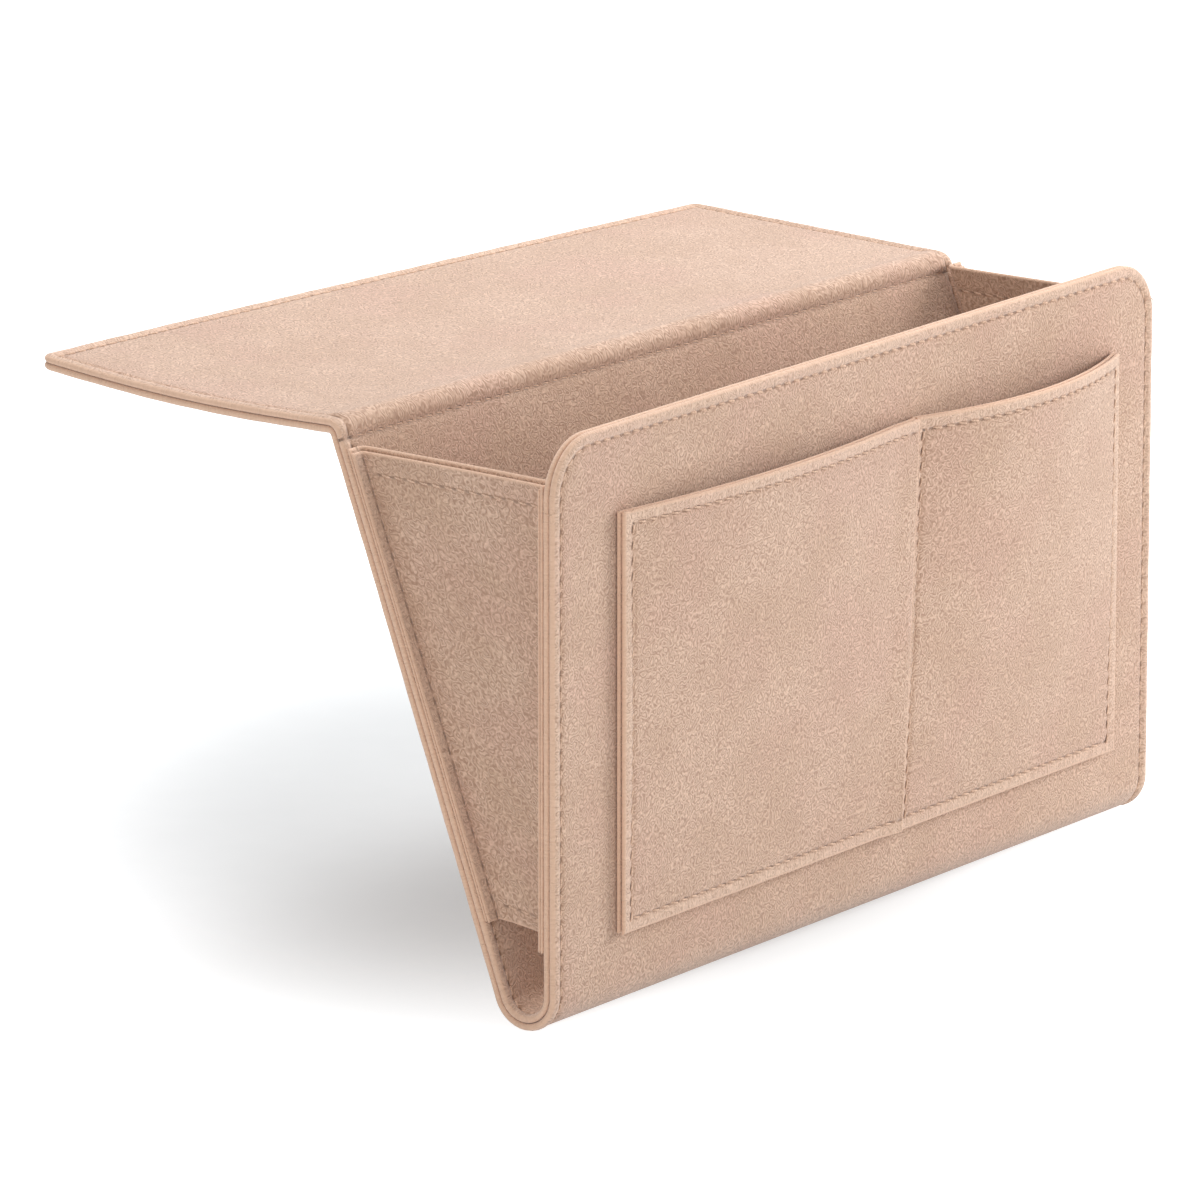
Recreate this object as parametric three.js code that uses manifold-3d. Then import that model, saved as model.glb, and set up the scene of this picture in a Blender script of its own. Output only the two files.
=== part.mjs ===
// A felt bedside caddy: a flap that is tucked under the mattress, a fold, and a
// pouch with a sloping back, a rounded bottom, an upright front, two side
// gussets and two outside pockets. Each wall is two plies of felt sewn together,
// with a stiffening board between them in the flap, the back and the front.
// Millimetres, +Z up, front towards -Y. The origin is the middle of the flap's
// underside, where the caddy rests on the bed base.

import * as THREE from 'three';
import { mergeVertices } from 'three/addons/utils/BufferGeometryUtils.js';
import Module from 'manifold-3d';

const wasm = await Module();
wasm.setup();

// Shell: one long folded panel
const caddyWidth = 330;
const flapLength = 115;
const frontHeight = 190;
const pouchDrop = 183;
const backSlope = THREE.MathUtils.degToRad(21);
const bendRadius = 12;
const frontCornerRadius = 19;
const flapCornerRadius = 5;

// Felt, board and thread
const feltPly = 1.6;
const coreSpace = 1.2;
const boardThickness = 0.7;
const boardMargin = 9;
const plyGap = 0.25;
const threadRadius = 0.4;
const threadLift = 0.2;
const stitchInset = 4.5;

// Fold between flap and pouch
const foldReach = 5.5;
const seamGap = 0.3;
const foldStitchDrop = 9;

// Side gussets
const gussetPly = 1.5;
const gussetInset = 6;
const gussetTopDrop = 7;
const gussetBottomRise = 34.5;
const gussetTopStitch = 7;
const gussetBottomStitch = 5;

// Outside pockets
const pocketPly = 1.5;
const pocketLeftMargin = 33;
const pocketRightMargin = 25;
const pocketDividerFromLeft = 189;
const pocketBottomRise = 25;
const pocketHeight = 137;
const pocketBorder = 6;
const leftPocketBow = 6.5;
const rightPocketBow = 11.5;
const pocketHemStitch = 4.5;
const dividerStitchInset = 2.5;

// How finely curves are cut
const bendSegments = 14;
const cornerSegments = 8;
const pocketColumns = 18;
const pocketRows = 8;
const threadSides = 6;
const bowHeightPower = 1.15;
const cutOverrun = 5;

// Worked-out places, as (y, z) points seen from the left end
const half = 0.5;
const halfWidth = caddyWidth * half;
const shellThickness = feltPly + coreSpace + feltPly;
const foldLine = new THREE.Vector2(-flapLength * half, 0);
const downBack = new THREE.Vector2(-Math.sin(backSlope), -Math.cos(backSlope));
const intoPouch = new THREE.Vector2(-Math.cos(backSlope), Math.sin(backSlope));
const bendCentreZ = bendRadius - pouchDrop;
const bendCentre = new THREE.Vector2(
  foldLine.x - (bendRadius - bendCentreZ * Math.sin(backSlope)) / Math.cos(backSlope),
  bendCentreZ,
);
const backLength = bendCentre.clone().sub(foldLine).dot(downBack);
const frontY = bendCentre.x - bendRadius;
const frontTop = frontHeight - pouchDrop;
const bottomZ = -pouchDrop;

const felt = { color: 0xd9b295, roughness: 0.95, metalness: 0 };
const board = { color: 0xb9b2a4, roughness: 0.8, metalness: 0 };
const thread = { color: 0xc39a7c, roughness: 0.85, metalness: 0 };

// A point on the back panel, some way down from the fold and some depth into the wall
function backPoint(distance, depth) {
  return foldLine.clone()
    .addScaledVector(downBack, distance)
    .addScaledVector(intoPouch, depth);
}

// Where the back panel's surface at a given depth passes a given height
function backPointAtHeight(height, depth) {
  const distance = (depth * Math.sin(backSlope) - height) / Math.cos(backSlope);
  return backPoint(distance, depth);
}

// A (y, z) outline extruded along X
function alongX(shape, fromX, toX, curveSegments = bendSegments) {
  const lowX = Math.min(fromX, toX);
  const geometry = new THREE.ExtrudeGeometry(shape, {
    depth: Math.abs(toX - fromX), bevelEnabled: false, steps: 1, curveSegments,
  });
  const turn = new THREE.Matrix4().makeBasis(
    new THREE.Vector3(0, 1, 0), new THREE.Vector3(0, 0, 1), new THREE.Vector3(1, 0, 0),
  );
  return geometry.applyMatrix4(turn).translate(lowX, 0, 0);
}

// An (x, z) outline extruded backwards from one depth to another
function alongY(shape, fromY, toY) {
  const geometry = new THREE.ExtrudeGeometry(shape, {
    depth: toY - fromY, bevelEnabled: false, steps: 1, curveSegments: cornerSegments,
  });
  const turn = new THREE.Matrix4().makeBasis(
    new THREE.Vector3(1, 0, 0), new THREE.Vector3(0, 0, 1), new THREE.Vector3(0, -1, 0),
  );
  return geometry.applyMatrix4(turn).translate(0, toY, 0);
}

// An (x, y) outline extruded upwards
function alongZ(shape, fromZ, toZ) {
  const geometry = new THREE.ExtrudeGeometry(shape, {
    depth: toZ - fromZ, bevelEnabled: false, steps: 1, curveSegments: cornerSegments,
  });
  return geometry.translate(0, 0, fromZ);
}

function solidOf(geometry) {
  const bare = geometry.clone();
  bare.deleteAttribute('normal');
  bare.deleteAttribute('uv');
  const merged = mergeVertices(bare);
  return new wasm.Manifold(new wasm.Mesh({
    numProp: 3,
    vertProperties: new Float32Array(merged.attributes.position.array),
    triVerts: new Uint32Array(merged.index.array),
  }));
}

function geometryOf(solid) {
  const mesh = solid.getMesh();
  const geometry = new THREE.BufferGeometry();
  geometry.setAttribute('position', new THREE.BufferAttribute(mesh.vertProperties, 3));
  geometry.setIndex(new THREE.BufferAttribute(mesh.triVerts, 1));
  geometry.computeVertexNormals();
  return geometry;
}

function cutAway(geometry, cutters) {
  let solid = solidOf(geometry);
  for (const cutter of cutters) {
    solid = solid.subtract(solidOf(cutter));
  }
  return geometryOf(solid);
}

// The sliver outside a rounded corner, with the corner at (u, v) and the panel on
// the side that the two signs point away from
function cornerSliver(u, v, signU, signV, radius) {
  const insideU = u - signU * radius;
  const insideV = v - signV * radius;
  const points = [
    new THREE.Vector2(u + signU * cutOverrun, v + signV * cutOverrun),
    new THREE.Vector2(insideU, v + signV * cutOverrun),
  ];
  for (let step = 0; step <= cornerSegments; step += 1) {
    const angle = (Math.PI * half) * (1 - step / cornerSegments);
    points.push(new THREE.Vector2(
      insideU + signU * radius * Math.cos(angle),
      insideV + signV * radius * Math.sin(angle),
    ));
  }
  points.push(new THREE.Vector2(u + signU * cutOverrun, insideV));
  return new THREE.Shape(points);
}

// A ply of the pouch: down the back, round the bend and up the front
function pouchPly(outerDepth, innerDepth) {
  const outerRadius = bendRadius - outerDepth;
  const innerRadius = bendRadius - innerDepth;
  const outline = new THREE.Shape();
  const start = backPoint(foldReach, outerDepth);
  const end = backPoint(foldReach, innerDepth);
  const low = backPoint(backLength, outerDepth);
  outline.moveTo(start.x, start.y);
  outline.lineTo(low.x, low.y);
  outline.absarc(bendCentre.x, bendCentre.y, outerRadius, -backSlope, -Math.PI, true);
  outline.lineTo(frontY + outerDepth, frontTop);
  outline.lineTo(frontY + innerDepth, frontTop);
  outline.absarc(bendCentre.x, bendCentre.y, innerRadius, -Math.PI, -backSlope, false);
  outline.lineTo(end.x, end.y);
  const corners = [-1, 1].map((side) => alongY(
    cornerSliver(side * halfWidth, frontTop, side, 1, frontCornerRadius),
    frontY - cutOverrun,
    frontY + shellThickness + cutOverrun,
  ));
  return cutAway(alongX(outline, -halfWidth, halfWidth), corners);
}

// A ply of the flap, with its two outer corners rounded
function flapPly(fromZ, toZ) {
  const near = foldLine.x + foldReach;
  const far = foldLine.x + flapLength;
  const outline = new THREE.Shape([
    new THREE.Vector2(-halfWidth, near), new THREE.Vector2(halfWidth, near),
    new THREE.Vector2(halfWidth, far), new THREE.Vector2(-halfWidth, far),
  ]);
  const corners = [-1, 1].map((side) => alongZ(
    cornerSliver(side * halfWidth, far, side, 1, flapCornerRadius),
    fromZ - cutOverrun,
    toZ + cutOverrun,
  ));
  return cutAway(alongZ(outline, fromZ, toZ), corners);
}

// The flexible length of a ply that turns from the flap into the back panel
function foldPly(outerDepth, innerDepth) {
  const legEnd = foldReach - seamGap;
  const outline = new THREE.Shape();
  const lowOuter = backPoint(legEnd, outerDepth);
  const lowInner = backPoint(legEnd, innerDepth);
  outline.moveTo(foldLine.x + legEnd, outerDepth);
  outline.lineTo(foldLine.x, outerDepth);
  if (outerDepth > 0) {
    outline.absarc(foldLine.x, foldLine.y, outerDepth, Math.PI * half, Math.PI - backSlope, false);
  }
  outline.lineTo(lowOuter.x, lowOuter.y);
  outline.lineTo(lowInner.x, lowInner.y);
  outline.absarc(foldLine.x, foldLine.y, innerDepth, Math.PI - backSlope, Math.PI * half, true);
  outline.lineTo(foldLine.x + legEnd, innerDepth);
  return alongX(outline, -halfWidth, halfWidth, cornerSegments);
}

// Stiffening boards, centred in the space between the plies
const boardDepth = feltPly + (coreSpace - boardThickness) * half;

function flapBoard() {
  const reach = halfWidth - boardMargin;
  const near = foldLine.x + foldReach + boardMargin;
  const far = foldLine.x + flapLength - boardMargin;
  const outline = new THREE.Shape([
    new THREE.Vector2(-reach, near), new THREE.Vector2(reach, near),
    new THREE.Vector2(reach, far), new THREE.Vector2(-reach, far),
  ]);
  return alongZ(outline, boardDepth, boardDepth + boardThickness);
}

function backBoard() {
  const top = foldReach + boardMargin;
  const bottom = backLength - boardMargin;
  const outline = new THREE.Shape([
    backPoint(top, boardDepth), backPoint(bottom, boardDepth),
    backPoint(bottom, boardDepth + boardThickness), backPoint(top, boardDepth + boardThickness),
  ]);
  return alongX(outline, boardMargin - halfWidth, halfWidth - boardMargin);
}

function frontBoard() {
  const low = bendCentreZ + boardMargin;
  const high = frontTop - boardMargin;
  const near = frontY + boardDepth;
  const outline = new THREE.Shape([
    new THREE.Vector2(near, low), new THREE.Vector2(near + boardThickness, low),
    new THREE.Vector2(near + boardThickness, high), new THREE.Vector2(near, high),
  ]);
  return alongX(outline, boardMargin - halfWidth, halfWidth - boardMargin);
}

// The space between front and back at one end, drawn in by a clearance
const gussetTop = -gussetTopDrop;
const gussetBottom = bottomZ + gussetBottomRise;

function endTrapezoid(clearance, overrun) {
  const low = gussetBottom - overrun;
  const high = gussetTop + overrun;
  const depth = shellThickness + clearance;
  return new THREE.Shape([
    new THREE.Vector2(frontY + depth, low), backPointAtHeight(low, depth),
    backPointAtHeight(high, depth), new THREE.Vector2(frontY + depth, high),
  ]);
}

// A gusset ply is a web with a seam tab along the back and one along the front,
// both turned outwards to the caddy's edge
function gussetPlyGeometry(side, clearance, webFrom) {
  const edge = side * halfWidth;
  const webInside = side * (halfWidth - webFrom - gussetPly);
  const webOutside = side * (halfWidth - webFrom);
  const whole = alongX(endTrapezoid(clearance, 0), edge, webInside);
  const recess = alongX(
    endTrapezoid(clearance + gussetPly, cutOverrun), edge + side * cutOverrun, webOutside,
  );
  return cutAway(whole, [recess]);
}

// Pocket panels: sheets sewn down at the sides and bottom that bow out at the mouth
const pocketLeft = pocketLeftMargin - halfWidth;
const pocketRight = halfWidth - pocketRightMargin;
const pocketDivider = pocketDividerFromLeft - halfWidth;
const pocketBottom = bottomZ + pocketBottomRise;
const pocketTop = pocketBottom + pocketHeight;

const pockets = {
  left: { from: pocketLeft, to: pocketDivider - seamGap * half, bow: leftPocketBow },
  right: { from: pocketDivider + seamGap * half, to: pocketRight, bow: rightPocketBow },
};

function pocketBowAt(pocket, x, z) {
  const open = pocket.to - pocket.from - pocketBorder - pocketBorder;
  const across = THREE.MathUtils.clamp((x - pocket.from - pocketBorder) / open, 0, 1);
  const up = THREE.MathUtils.clamp(
    (z - pocketBottom - pocketBorder) / (pocketHeight - pocketBorder), 0, 1,
  );
  return pocket.bow * Math.sin(Math.PI * across) * up ** bowHeightPower;
}

// Grid lines of a panel: one at each sewn border, the rest spread over the open part
function columnPlace(pocket, column) {
  const step = (pocket.to - pocket.from - pocketBorder - pocketBorder) / (pocketColumns - 2);
  if (column === 0) {
    return pocket.from;
  }
  if (column === pocketColumns) {
    return pocket.to;
  }
  return pocket.from + pocketBorder + step * (column - 1);
}

function rowPlace(row) {
  const step = (pocketHeight - pocketBorder) / (pocketRows - 1);
  return row === 0 ? pocketBottom : pocketBottom + pocketBorder + step * (row - 1);
}

function pocketPanel(pocket, backGap) {
  const geometry = new THREE.BoxGeometry(
    pocketColumns, pocketPly, pocketRows, pocketColumns, 1, pocketRows,
  );
  geometry.translate(pocketColumns * half, frontY - backGap - pocketPly * half, pocketRows * half);
  const place = geometry.attributes.position;
  for (let index = 0; index < place.count; index += 1) {
    const x = columnPlace(pocket, Math.round(place.getX(index)));
    const z = rowPlace(Math.round(place.getZ(index)));
    place.setXYZ(index, x, place.getY(index) - pocketBowAt(pocket, x, z), z);
  }
  return geometryOf(solidOf(geometry));
}

// A thread along a run of points, mitred where the run turns
function threadAlong(points) {
  const last = points.length - 1;
  const runs = points.slice(1).map((point, index) => point.clone().sub(points[index]).normalize());
  const across = new THREE.Vector3(0, 0, 1).cross(runs[0]);
  if (across.length() < Number.EPSILON) {
    across.set(1, 0, 0);
  }
  across.normalize();
  let spokes = [];
  for (let side = 0; side < threadSides; side += 1) {
    const angle = (side / threadSides) * Math.PI * 2;
    spokes.push(across.clone().applyAxisAngle(runs[0], angle).multiplyScalar(threadRadius));
  }
  const places = [];
  const faces = [];
  for (let ring = 0; ring <= last; ring += 1) {
    const arriving = runs[Math.max(ring - 1, 0)];
    const leaving = runs[Math.min(ring, last - 1)];
    const mitre = arriving.clone().add(leaving).normalize();
    for (const spoke of spokes) {
      const slip = spoke.dot(mitre) / arriving.dot(mitre);
      places.push(...points[ring].clone().add(spoke).addScaledVector(arriving, -slip).toArray());
    }
    const turn = new THREE.Quaternion().setFromUnitVectors(arriving, leaving);
    spokes = spokes.map((spoke) => spoke.clone().applyQuaternion(turn));
  }
  for (let side = 0; side < threadSides; side += 1) {
    const next = (side + 1) % threadSides;
    for (let ring = 0; ring < last; ring += 1) {
      const here = ring * threadSides;
      const there = here + threadSides;
      faces.push(here + side, here + next, there + side);
      faces.push(here + next, there + next, there + side);
    }
    if (side > 0 && side < threadSides - 1) {
      const end = last * threadSides;
      faces.push(0, next, side);
      faces.push(end, end + side, end + next);
    }
  }
  const geometry = new THREE.BufferGeometry();
  geometry.setAttribute('position', new THREE.Float32BufferAttribute(places, 3));
  geometry.setIndex(faces);
  geometry.computeVertexNormals();
  return geometry;
}

const threadStandoff = threadLift + threadRadius;

// Up the back and front edges and round the front's top corners, on the outside
function pouchBorderThread() {
  const sideX = halfWidth - stitchInset;
  const radius = frontCornerRadius - stitchInset;
  const outside = -threadStandoff;
  const bendOut = bendRadius + threadStandoff;
  const faceY = frontY + outside;
  const leftHalf = [];
  const backTop = backPoint(foldStitchDrop, outside);
  leftHalf.push(new THREE.Vector3(-sideX, backTop.x, backTop.y));
  for (let step = 0; step <= bendSegments; step += 1) {
    const angle = -backSlope - (Math.PI - backSlope) * (step / bendSegments);
    leftHalf.push(new THREE.Vector3(
      -sideX, bendCentre.x + bendOut * Math.cos(angle), bendCentre.y + bendOut * Math.sin(angle),
    ));
  }
  for (let step = 0; step <= cornerSegments; step += 1) {
    const angle = (Math.PI * half) * (step / cornerSegments);
    leftHalf.push(new THREE.Vector3(
      -halfWidth + frontCornerRadius - radius * Math.cos(angle),
      faceY,
      frontTop - frontCornerRadius + radius * Math.sin(angle),
    ));
  }
  const rightHalf = leftHalf.map((point) => new THREE.Vector3(-point.x, point.y, point.z)).reverse();
  return threadAlong([...leftHalf, ...rightHalf]);
}

function flapBorderThread() {
  const sideX = halfWidth - stitchInset;
  const height = shellThickness + threadStandoff;
  const near = foldLine.x + foldReach + stitchInset;
  const far = foldLine.x + flapLength - stitchInset;
  return threadAlong([
    new THREE.Vector3(-sideX, near, height), new THREE.Vector3(-sideX, far, height),
    new THREE.Vector3(sideX, far, height), new THREE.Vector3(sideX, near, height),
  ]);
}

function foldThread() {
  const reach = halfWidth - gussetInset - gussetPly;
  const place = backPoint(foldStitchDrop, shellThickness + threadStandoff);
  return threadAlong([
    new THREE.Vector3(-reach, place.x, place.y), new THREE.Vector3(reach, place.x, place.y),
  ]);
}

// A hem along the top or bottom of a gusset, on its outer face
function gussetHemThread(side, height) {
  const x = side * (halfWidth - gussetInset + threadStandoff);
  const clear = shellThickness + gussetPly + gussetPly + plyGap + seamGap + threadStandoff;
  const back = backPointAtHeight(height, clear);
  return threadAlong([
    new THREE.Vector3(x, frontY + clear, height), new THREE.Vector3(x, back.x, height),
  ]);
}

const pocketFaceGap = seamGap + pocketPly + plyGap + pocketPly;

function pocketBorderThread() {
  const y = frontY - pocketFaceGap - threadStandoff;
  const left = pocketLeft + stitchInset;
  const right = pocketRight - stitchInset;
  const low = pocketBottom + stitchInset;
  const high = pocketTop - stitchInset - pocketHemStitch;
  return threadAlong([
    new THREE.Vector3(left, y, high), new THREE.Vector3(left, y, low),
    new THREE.Vector3(right, y, low), new THREE.Vector3(right, y, high),
  ]);
}

function pocketDividerThread() {
  const x = pocketDivider - dividerStitchInset;
  const y = frontY - pocketFaceGap - threadStandoff;
  const low = pocketBottom + stitchInset + stitchInset;
  const high = pocketTop - stitchInset - pocketHemStitch;
  return threadAlong([new THREE.Vector3(x, y, high), new THREE.Vector3(x, y, low)]);
}

function pocketHemThread(pocket) {
  const height = pocketTop - pocketHemStitch;
  const points = [];
  for (let column = 1; column < pocketColumns; column += 1) {
    const x = columnPlace(pocket, column);
    const out = pocketBowAt(pocket, x, height) + pocketFaceGap + threadStandoff;
    points.push(new THREE.Vector3(x, frontY - out, height));
  }
  return threadAlong(points);
}

const caddy = new THREE.Group();
const flap = new THREE.Group();
const pouch = new THREE.Group();
caddy.add(flap, pouch);

function addPiece(group, name, geometry, finish) {
  const mesh = new THREE.Mesh(geometry, new THREE.MeshStandardMaterial(finish));
  mesh.name = name;
  group.add(mesh);
}

const upperPlyFrom = feltPly + coreSpace;

addPiece(flap, 'flap_lower_ply', flapPly(0, feltPly), felt);
addPiece(flap, 'flap_upper_ply', flapPly(upperPlyFrom, shellThickness), felt);
addPiece(flap, 'flap_board', flapBoard(), board);
addPiece(flap, 'fold_outer_ply', foldPly(0, feltPly), felt);
addPiece(flap, 'fold_inner_ply', foldPly(upperPlyFrom, shellThickness), felt);
addPiece(flap, 'flap_border_thread', flapBorderThread(), thread);

addPiece(pouch, 'pouch_outer_ply', pouchPly(0, feltPly), felt);
addPiece(pouch, 'pouch_inner_ply', pouchPly(upperPlyFrom, shellThickness), felt);
addPiece(pouch, 'back_board', backBoard(), board);
addPiece(pouch, 'front_board', frontBoard(), board);
addPiece(pouch, 'pouch_border_thread', pouchBorderThread(), thread);
addPiece(pouch, 'fold_thread', foldThread(), thread);

for (const [word, side] of [['left', -1], ['right', 1]]) {
  const outerClearance = seamGap + gussetPly + plyGap;
  const innerWebFrom = gussetInset + gussetPly + plyGap;
  addPiece(pouch, `${word}_gusset_inner_ply`, gussetPlyGeometry(side, seamGap, innerWebFrom), felt);
  addPiece(pouch, `${word}_gusset_outer_ply`,
    gussetPlyGeometry(side, outerClearance, gussetInset), felt);
  addPiece(pouch, `${word}_gusset_top_thread`,
    gussetHemThread(side, gussetTop - gussetTopStitch), thread);
  addPiece(pouch, `${word}_gusset_bottom_thread`,
    gussetHemThread(side, gussetBottom + gussetBottomStitch), thread);
  const pocket = pockets[word];
  addPiece(pouch, `${word}_pocket_inner_ply`, pocketPanel(pocket, seamGap), felt);
  addPiece(pouch, `${word}_pocket_outer_ply`,
    pocketPanel(pocket, seamGap + pocketPly + plyGap), felt);
  addPiece(pouch, `${word}_pocket_hem_thread`, pocketHemThread(pocket), thread);
}

addPiece(pouch, 'pocket_border_thread', pocketBorderThread(), thread);
addPiece(pouch, 'pocket_divider_thread', pocketDividerThread(), thread);

export default caddy;
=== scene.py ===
"""The looks of the felt bedside caddy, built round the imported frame, in metres."""

import logging
import math
from dataclasses import dataclass, field
from enum import Enum

import bmesh
import bpy
import numpy as np
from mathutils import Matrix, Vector


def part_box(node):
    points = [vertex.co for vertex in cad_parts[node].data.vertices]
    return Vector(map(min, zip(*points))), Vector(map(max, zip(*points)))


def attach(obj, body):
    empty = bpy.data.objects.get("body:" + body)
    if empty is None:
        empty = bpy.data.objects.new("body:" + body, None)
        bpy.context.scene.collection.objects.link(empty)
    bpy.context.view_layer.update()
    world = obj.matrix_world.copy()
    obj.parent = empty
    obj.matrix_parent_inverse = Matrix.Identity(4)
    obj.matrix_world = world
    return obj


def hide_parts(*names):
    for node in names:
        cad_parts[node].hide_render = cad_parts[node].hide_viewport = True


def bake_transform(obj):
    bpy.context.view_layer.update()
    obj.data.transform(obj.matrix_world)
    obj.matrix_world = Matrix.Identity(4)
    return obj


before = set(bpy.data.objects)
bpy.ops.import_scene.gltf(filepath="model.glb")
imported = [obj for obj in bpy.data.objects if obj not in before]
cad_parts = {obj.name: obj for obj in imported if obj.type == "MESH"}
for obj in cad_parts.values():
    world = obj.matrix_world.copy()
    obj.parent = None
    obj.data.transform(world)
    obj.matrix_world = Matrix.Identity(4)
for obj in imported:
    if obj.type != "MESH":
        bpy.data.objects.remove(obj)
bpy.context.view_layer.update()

log = logging.getLogger("caddy")
Array = np.ndarray
Piece = bpy.types.Object
Material = bpy.types.Material
Socket = bpy.types.NodeSocket
Colour = tuple[float, float, float, float]
MM = 0.001
HALF_WIDTH = 165 * MM
FRONT_Y = -147.994 * MM
FLOOR_Z = -183.0 * MM
FOLD_Y = -57.5 * MM
FLAP_LENGTH = 115 * MM
BACK_LEAN = 0.38386
LEAN_ANGLE = math.radians(21)
CUT_EDGE_RADIUS = 0.75 * MM
STITCH_INSET = 4.2 * MM
STITCH_PITCH = 5.0 * MM
GRID_PITCH = 2.5 * MM


class Side(Enum):
    """The two ends of the caddy, by the sign of x."""

    LEFT = -1
    RIGHT = 1


class Face(Enum):
    """The face of a two-ply panel that a row of stitches shows on."""

    OUTER = 0.0
    INNER = 4.4 * MM


def eased(value: Array, start: float, end: float) -> Array:
    """A smooth step from 0 at start to 1 at end.

    Args:
        value: The numbers to step.
        start: Where the step begins.
        end: Where the step ends.

    Returns:
        Numbers from 0 to 1.
    """
    t = np.clip((value - start) / (end - start), 0, 1)
    return t * t * (3 - 2 * t)


def rounded(depth_in: Array, radius: float) -> Array:
    """How full a ply is at a distance from its cut edge, which is worn round.

    Args:
        depth_in: Distance from the cut edge.
        radius: How far in the rounding reaches.

    Returns:
        0 at the edge, 1 where the ply has its full thickness.
    """
    return np.sqrt(1 - (1 - np.clip(depth_in / radius, 0, 1)) ** 2)


def hump(off: Array, width: float) -> Array:
    """A smooth bump, 1 where off is 0, that fades away over a width."""
    return np.exp(-((off / width) ** 2))


def stitch_pull(u: Array) -> Array:
    """How far the thread pulls the felt down at lengths along a row, at most 1."""
    return 0.72 + 0.28 * np.cos(2 * math.pi * u / STITCH_PITCH)


def between(pair: tuple[float, float], share: Array) -> Array:
    """A value that runs evenly from the first of a pair to the second."""
    return pair[0] + (pair[1] - pair[0]) * share


# How the caddy settles. A pair holds the move at the left end and at the right end.
FOLD_FORWARD = (-2.7 * MM, -5.0 * MM)
FOLD_SINK = (-2.4 * MM, -6.8 * MM)
FREE_EDGE_RISE = (1.9 * MM, -3.5 * MM)
FREE_EDGE_BACK = 2.7 * MM
FREE_EDGE_FORWARD = 11.0 * MM
FLAP_SAG = 2.2 * MM
LEAST_DEPTH = 10 * MM


def settle(points: Array) -> Array:
    """Lets the sewn caddy hang as cloth does: the fold sinks and the flap droops.

    Args:
        points: Places on the caddy as cut, (..., 3).

    Returns:
        The same points, moved by a few millimetres. The front stays where it is.
    """
    x, y, z = points[..., 0], points[..., 1], points[..., 2]
    u = np.clip((x + HALF_WIDTH) / (2 * HALF_WIDTH), 0, 1)
    fold_dy, fold_dz = between(FOLD_FORWARD, u), between(FOLD_SINK, u)
    v = np.clip((y - FOLD_Y) / FLAP_LENGTH, 0, 1)
    flap_dy = fold_dy + v * (FREE_EDGE_BACK * (1 - u) - FREE_EDGE_FORWARD * u**1.5)
    sag = -FLAP_SAG * (1 - u) * np.sin(np.pi * v)
    flap_dz = (1 - v) * fold_dz + v * between(FREE_EDGE_RISE, u) + sag
    height = np.clip((z - FLOOR_Z) / -FLOOR_Z, 0, 1)
    back_y = FOLD_Y + BACK_LEAN * np.minimum(z, 0)
    depth = np.clip((y - FRONT_Y) / np.maximum(back_y - FRONT_Y, LEAST_DEPTH), 0, 1)
    on_flap = y > FOLD_Y
    moved = points.copy()
    moved[..., 1] += np.where(on_flap, flap_dy, fold_dy * height * depth)
    moved[..., 2] += np.where(on_flap, flap_dz, fold_dz * height**3 * depth)
    return moved


def bend_at_fold(obj: Piece) -> None:
    """Bakes a piece's placement into its points; the piece does not bend at the fold."""
    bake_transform(obj)


def mesh_object(name: str, points: Array, faces: list, material: Material,
                marks: dict[str, Array]) -> Piece:
    """Makes a closed, smooth-shaded mesh and puts it in the scene.

    Args:
        name: The piece's name.
        points: Vertices, (n, 3).
        faces: Vertex numbers of each face.
        material: The finish.
        marks: Named vectors kept with each vertex for the finish to read.

    Returns:
        The new object.
    """
    mesh = bpy.data.meshes.new(name)
    mesh.from_pydata(points.tolist(), [], faces)
    for mark, values in marks.items():
        layer = mesh.attributes.new(mark, "FLOAT_VECTOR", "POINT")
        layer.data.foreach_set("vector", values.astype(np.float32).ravel())
    work = bmesh.new()
    work.from_mesh(mesh)
    bmesh.ops.recalc_face_normals(work, faces=work.faces)
    work.to_mesh(mesh)
    work.free()
    mesh.polygons.foreach_set("use_smooth", [True] * len(mesh.polygons))
    mesh.materials.append(material)
    obj = bpy.data.objects.new(name, mesh)
    bpy.context.scene.collection.objects.link(obj)
    return obj


def slab(name: str, low: Array, high: Array, material: Material,
         cloth: Array, seam: Array, rim: Array) -> Piece:
    """Joins two faces of a ply, which share their border, into one closed sheet.

    Args:
        name: The piece's name.
        low: One face as a grid of points, (rows, columns, 3).
        high: The other face, with the same border points.
        material: The finish.
        cloth: Where each point lies on the flat cloth, (rows, columns, 3).
        seam: Length along the seam and distance past it, (rows, columns, 3).
        rim: Distance in from the cut edge, (rows, columns).

    Returns:
        The new object.
    """
    rows, cols = low.shape[:2]
    index_low = np.arange(rows * cols).reshape(rows, cols)
    index_high = index_low.copy()
    inner = np.arange((rows - 2) * (cols - 2)).reshape(rows - 2, cols - 2)
    index_high[1:-1, 1:-1] = inner + rows * cols
    points = np.concatenate([low.reshape(-1, 3), high[1:-1, 1:-1].reshape(-1, 3)])

    def both(values: Array) -> Array:
        """The values of both faces in the order of the vertices."""
        return np.concatenate([values.reshape(-1, 3), values[1:-1, 1:-1].reshape(-1, 3)])

    faces = []
    for index, turn in ((index_low, 1), (index_high, -1)):
        quads = np.stack([index[:-1, :-1], index[1:, :-1], index[1:, 1:], index[:-1, 1:]], -1)
        faces += quads.reshape(-1, 4)[:, ::turn].tolist()
    return mesh_object(name, points, faces, material,
                       {"cloth": both(cloth), "seam": both(seam),
                        "rim": both(np.stack([rim, rim, rim], -1))})


def reported(piece: Piece) -> None:
    """Reports a finished piece and its number of points."""
    log.info("%s: %d points", piece.name, len(piece.data.vertices))


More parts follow.
